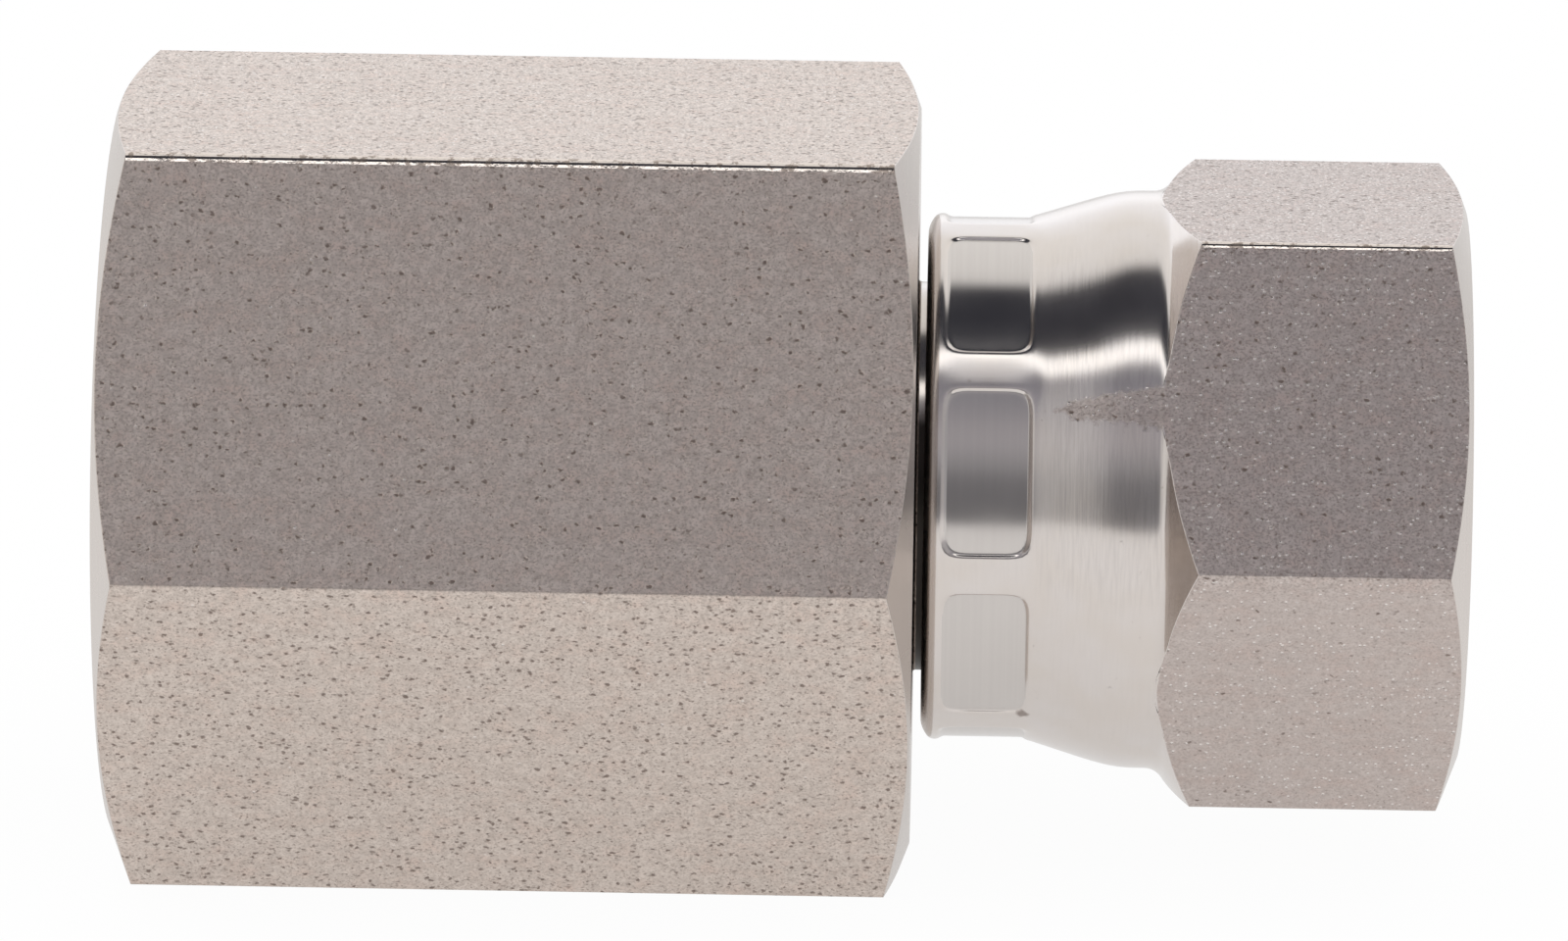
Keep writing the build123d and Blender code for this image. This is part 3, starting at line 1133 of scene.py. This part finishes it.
def press_crimp_marks(piece, nut, crimp):
    """Presses the jaws' marks into the skirt's cage: rolled rim, wall, sloped ends and flat floor."""
    mm = Millimetres(crimp)
    rear = NUT_LOW.x
    first_row = rear + mm.start
    root = rear + Millimetres(nut).skirt_length
    pitch = 2 * pi / crimp.count
    half_width = crimp.columns * pi / CAGE_COLUMNS

    def in_mark(face):
        centre = face.calc_center_median()
        angle = atan2(-centre.y, centre.z) - crimp.first_angle
        aside = abs((angle + pitch / 2) % pitch - pitch / 2)
        return first_row < centre.x < root and aside < half_width

    select_faces(piece, in_mark)
    bpy.ops.mesh.inset(thickness=mm.rim, depth=-mm.rim_drop)
    bpy.ops.mesh.inset(thickness=mm.wall, depth=-mm.depth)
    bpy.ops.transform.resize(value=(crimp.end_slope, 1, 1),
                             center_override=((first_row + root) / 2, 0, 0))
    bpy.ops.mesh.inset(thickness=mm.wall, depth=0)


def skirt_shell(nut, crimp):
    """Skirt, flare and waist: a turned cage with the crimp marks pressed in, then subdivided.

    Subdivision draws the cage's rings in, so they are turned larger by that. The cage is turned back
    by one column of the finished surface, to bring the marks' middles to their angles.
    """
    shrink = (2 + cos(2 * pi / CAGE_COLUMNS)) / 3
    outline = [(along, radius / shrink) for along, radius in skirt_cage_outline(nut, crimp)]
    piece = begin_outline("skirt_shell", outline)
    spin_outline(CAGE_COLUMNS)
    bpy.ops.mesh.select_all(action="SELECT")
    bpy.ops.transform.rotate(value=-2 * pi / COLUMNS, orient_axis="X", center_override=(0, 0, 0))
    press_crimp_marks(piece, nut, crimp)
    bpy.ops.object.mode_set(mode="OBJECT")
    apply_modifier(piece, "SUBSURF", levels=CAGE_LEVELS, render_levels=CAGE_LEVELS)
    return piece


class ADAPTER_OT_add_nut(Operator):
    """Turns the swivel nut with its crimped skirt, and cuts its thread"""

    bl_idname = "swivel_adapter.add_nut"
    bl_label = "Add swivel nut"

    def execute(self, context):
        group = context.scene.adapter_nut
        finish = context.scene.adapter_finish
        mm = Millimetres(group)
        skirt = skirt_shell(group, context.scene.adapter_crimp)
        piece = begin_outline("nut_shell", nut_core_outline(group))
        spin_outline(COLUMNS)
        cut_hexagon(mm.across_flats)
        break_edges(piece, mm.across_flats, mm.edge_round, group.edge_break)
        skirt.select_set(True)
        bpy.ops.object.join()
        bpy.ops.object.mode_set(mode="EDIT")
        tidy_surface()
        bpy.ops.object.mode_set(mode="OBJECT")
        cut_thread(piece, MOUNTS["nut_thread"], mm.thread_diameter, mm.thread_pitch)
        waist_end = NUT_LOW.x + mm.waist_end - WAIST_MARGIN
        root = NUT_LOW.x + mm.skirt_length
        marks = Millimetres(context.scene.adapter_crimp)
        floor_radius = mm.skirt_diameter / 2 - FLOOR_SHARE * marks.depth

        def kind_of(face):
            outward = radial_part(face)
            centre = face.calc_center_median()
            radius = from_axis(centre)
            if outward < BORE_LOOK or (outward < REAR_LOOK and radius < REAR_JOINT):
                return "bored"
            if centre.x < waist_end or face.normal.x < SHOULDER_LEAN:
                return "pressed" if centre.x < root and radius < floor_radius else "polished"
            return kind_on_hexagon(face, mm.across_flats)

        materials = {
            "bar": bar_steel("nut_bar_steel", finish.nut_bar, finish, NUT_GRADE),
            "edge": edge_steel("nut_edge_steel", finish),
            "polished": polished_steel("nut_polished_steel", finish, mm),
            "pressed": turned_steel("crimp_mark_steel", finish.pressed, finish.polished_roughness),
            "turned": turned_steel("nut_turned_steel", finish.turned, finish.turned_roughness),
            "bored": turned_steel("nut_bored_steel", finish.turned, finish.bored_roughness),
        }
        give_materials(piece, materials, kind_of)
        keep_facets_flat(piece, mm.across_flats)
        place_piece(piece, "nut", "swivel_nut")
        return {"FINISHED"}


class ADAPTER_OT_add_ring(Operator):
    """Adds the rubber seal ring in the groove of the nipple's cone"""

    bl_idname = "swivel_adapter.add_ring"
    bl_label = "Add seal ring"

    def execute(self, context):
        finish = context.scene.adapter_finish
        section = (RING_HIGH.x - RING_LOW.x) / 2
        middle = (RING_HIGH.x + RING_LOW.x) / 2
        bpy.ops.object.select_all(action="DESELECT")
        bpy.ops.mesh.primitive_circle_add(vertices=RING_POINTS, radius=section)
        piece = bpy.context.object
        piece.name = "seal_ring"
        bpy.ops.object.mode_set(mode="EDIT")
        bpy.ops.mesh.select_all(action="SELECT")
        bpy.ops.transform.rotate(value=pi / 2, orient_axis="X", center_override=(0, 0, 0))
        bpy.ops.transform.translate(value=(middle, 0, RING_HIGH.z - section))
        spin_outline(COLUMNS)
        bpy.ops.object.mode_set(mode="OBJECT")
        piece.data.materials.append(rubber("seal_rubber", finish))
        bpy.ops.object.shade_smooth_by_angle(angle=SMOOTH_ANGLE)
        place_piece(piece, "body", "cone_o_ring")
        return {"FINISHED"}


# Width of the camera's film, in millimetres, and the range that the camera sees, in metres
FILM_WIDTH = 36
NEAREST = 0.02
FARTHEST = 20


def make_camera(group):
    """Camera at the photograph's viewing angle, aimed at the target."""
    sight = Vector((
        sin(group.azimuth) * cos(group.elevation),
        -cos(group.azimuth) * cos(group.elevation),
        sin(group.elevation),
    ))
    level = Vector((cos(group.azimuth), sin(group.azimuth), 0))
    upward = sight.cross(level)
    right = level * cos(group.roll) + upward * sin(group.roll)
    top = upward * cos(group.roll) - level * sin(group.roll)
    bpy.ops.object.camera_add()
    camera = bpy.context.object
    camera.name = "studio_camera"
    camera.rotation_mode = "QUATERNION"
    camera.rotation_quaternion = Matrix((right, top, sight)).transposed().to_quaternion()
    camera.location = Vector(group.target) + sight * group.distance
    camera.data.lens = group.lens
    camera.data.sensor_width = FILM_WIDTH
    camera.data.clip_start = NEAREST
    camera.data.clip_end = FARTHEST
    bpy.context.scene.camera = camera


# Studio round the object: angle from the horizon at the camera over the top, with its light
STUDIO_LIGHT = (
    (-180, (0.80, 0.80, 0.80)),
    (-8, (0.80, 0.80, 0.80)),
    (-3, (0.22, 0.22, 0.23)),
    (6, (0.20, 0.20, 0.215)),
    (14, (0.225, 0.225, 0.24)),
    (20, (0.34, 0.34, 0.36)),
    (30, (0.47, 0.46, 0.49)),
    (38, (0.44, 0.43, 0.46)),
    (50, (0.31, 0.31, 0.35)),
    (58, (0.22, 0.22, 0.26)),
    (62.5, (0.28, 0.28, 0.31)),
    (65.5, (1.80, 1.82, 1.82)),
    (71.8, (1.80, 1.82, 1.82)),
    (74.3, (0.048, 0.050, 0.062)),
    (92, (0.037, 0.039, 0.051)),
    (107, (0.048, 0.050, 0.062)),
    (113, (0.95, 0.95, 0.94)),
    (126, (1.00, 1.00, 0.99)),
    (142, (1.04, 1.04, 1.03)),
    (158, (1.16, 1.18, 1.22)),
    (168, (1.32, 1.35, 1.40)),
    (180, (1.05, 1.05, 1.07)),
)
STUDIO_STRENGTH = 2.0

# Light from the two ends of the object, towards -X and +X. It begins where a direction leans along X
# by these shares, and by so much more above the ceiling band's angles.
LEFT_LIGHT = (0.82, 0.82, 0.81)
RIGHT_LIGHT = (0.48, 0.48, 0.50)
END_LIGHT_LEAN = (0.35, 0.78)
LEAN_ABOVE = 0.38
CEILING_BAND = (radians(56), radians(68))
END_TO_END = (-0.1, 0.1)


def before_strength(light):
    """A light's colour as the background takes it, before its strength."""
    return [channel / STUDIO_STRENGTH for channel in light]


def make_world():
    """White studio for the camera, and for the metal its dark and light bands about the X axis."""
    world = bpy.data.worlds.new("studio_world")
    bpy.context.scene.world = world
    world.use_nodes = True
    world.node_tree.nodes.clear()
    wire = Wire(world.node_tree)
    way = wire.node("ShaderNodeTexCoord", None, None, "Generated")
    along = way.part("X")
    angle = wire.maths("ARCTAN2", way.part("Z"), way.part("Y") * -1)
    stops = [((degree + 180) / 360, (*before_strength(light), 1.0)) for degree, light in STUDIO_LIGHT]
    bands = wire.node("ShaderNodeValToRGB", {"stops": stops}, {0: angle * (0.5 / pi) + 0.5}, "Color")
    ends = along.step(*END_TO_END).mix(before_strength(LEFT_LIGHT), before_strength(RIGHT_LIGHT))
    above = angle.step(*CEILING_BAND)
    around = (abs(along) - above * LEAN_ABOVE).step(*END_LIGHT_LEAN).mix(bands, ends)
    lit = wire.node("ShaderNodeBackground", None, {"Color": around, "Strength": STUDIO_STRENGTH})
    white = wire.node("ShaderNodeBackground", None, {"Color": (1, 1, 1, 1), "Strength": 1.0})
    mirrored = wire.node("ShaderNodeLightPath", None, None, "Is Glossy Ray")
    both = wire.node("ShaderNodeMixShader", None, {0: mirrored, 1: white, 2: lit})
    wire.node("ShaderNodeOutputWorld", None, {"Surface": both})


# Share of the floor's own white that the camera and the metal see, which leaves a soft shadow,
# and the strength of that white in the metal
CAMERA_GLOW = 0.96
MIRROR_GLOW = 0.79
MIRROR_WHITE = 0.93


def make_floor(group):
    """Pale floor under the flat that the adapter lies on."""
    bpy.ops.object.select_all(action="DESELECT")
    bpy.ops.mesh.primitive_plane_add(size=group.floor_side, location=(0, 0, BODY_LOW.z * MM))
    floor = bpy.context.object
    floor.name = "floor"
    material, wire = new_material("pale_floor")
    matte = wire.node("ShaderNodeBsdfDiffuse", None, {"Color": opaque(group.floor)})
    seen = wire.node("ShaderNodeLightPath", None, None, "Is Camera Ray")
    strength = seen * (1 - MIRROR_WHITE) + MIRROR_WHITE
    white = wire.node("ShaderNodeEmission", None, {"Color": (1, 1, 1, 1), "Strength": strength})
    mirrored = wire.node("ShaderNodeLightPath", None, None, "Is Glossy Ray")
    glow = wire.maths("MAXIMUM", seen * CAMERA_GLOW, mirrored * MIRROR_GLOW)
    both = wire.node("ShaderNodeMixShader", None, {0: glow, 1: matte, 2: white})
    wire.node("ShaderNodeOutputMaterial", None, {"Surface": both})
    floor.data.materials.append(material)


def make_lamp(group):
    """Soft square lamp that looks down at the object and doesn't show in the metal."""
    bpy.ops.object.light_add(type="AREA", location=group.lamp_place)
    lamp = bpy.context.object
    lamp.name = "overhead_lamp"
    lamp.data.size = group.lamp_side
    lamp.data.energy = group.lamp_power
    lamp.visible_glossy = False
    lamp.rotation_mode = "QUATERNION"
    lamp.rotation_quaternion = Vector(group.lamp_place).to_track_quat("Z", "Y")


class ADAPTER_OT_add_stage(Operator):
    """Adds the camera, the pale floor and the soft studio light"""

    bl_idname = "swivel_adapter.add_stage"
    bl_label = "Add stage"

    def execute(self, context):
        group = context.scene.adapter_stage
        make_camera(group)
        make_floor(group)
        make_world()
        make_lamp(group)
        context.scene.view_settings.view_transform = "Standard"
        return {"FINISHED"}


class ADAPTER_PT_panel(Panel):
    """Lists the adapter's pieces and their sizes"""

    bl_idname = "ADAPTER_PT_panel"
    bl_label = "Swivel adapter"
    bl_space_type = "VIEW_3D"
    bl_region_type = "UI"
    bl_category = "Adapter"

    def draw(self, context):
        for operator in OPERATORS:
            self.layout.operator(operator.bl_idname)
        for name in GROUPS:
            group = getattr(context.scene, name)
            box = self.layout.box()
            for key in group.bl_rna.properties.keys():
                if key not in ("rna_type", "name"):
                    box.prop(group, key)


GROUPS = {
    "adapter_body": BodySizes,
    "adapter_nut": NutSizes,
    "adapter_crimp": CrimpSizes,
    "adapter_finish": SteelFinish,
    "adapter_stage": StageSettings,
}
OPERATORS = (ADAPTER_OT_add_body, ADAPTER_OT_add_nut, ADAPTER_OT_add_ring, ADAPTER_OT_add_stage)


def register():
    """Makes the operators, the panel and the groups of sizes known to Blender."""
    for kind in (*GROUPS.values(), *OPERATORS, ADAPTER_PT_panel):
        bpy.utils.register_class(kind)
    for name, kind in GROUPS.items():
        setattr(bpy.types.Scene, name, PointerProperty(type=kind))


def unregister():
    """Takes back what register made known."""
    for name in GROUPS:
        delattr(bpy.types.Scene, name)
    for kind in (ADAPTER_PT_panel, *OPERATORS, *GROUPS.values()):
        bpy.utils.unregister_class(kind)


def main():
    """Builds the adapter on its stage."""
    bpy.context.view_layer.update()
    register()
    bpy.ops.swivel_adapter.add_body()
    bpy.ops.swivel_adapter.add_nut()
    bpy.ops.swivel_adapter.add_ring()
    bpy.ops.swivel_adapter.add_stage()


if __name__ == "__main__":
    main()
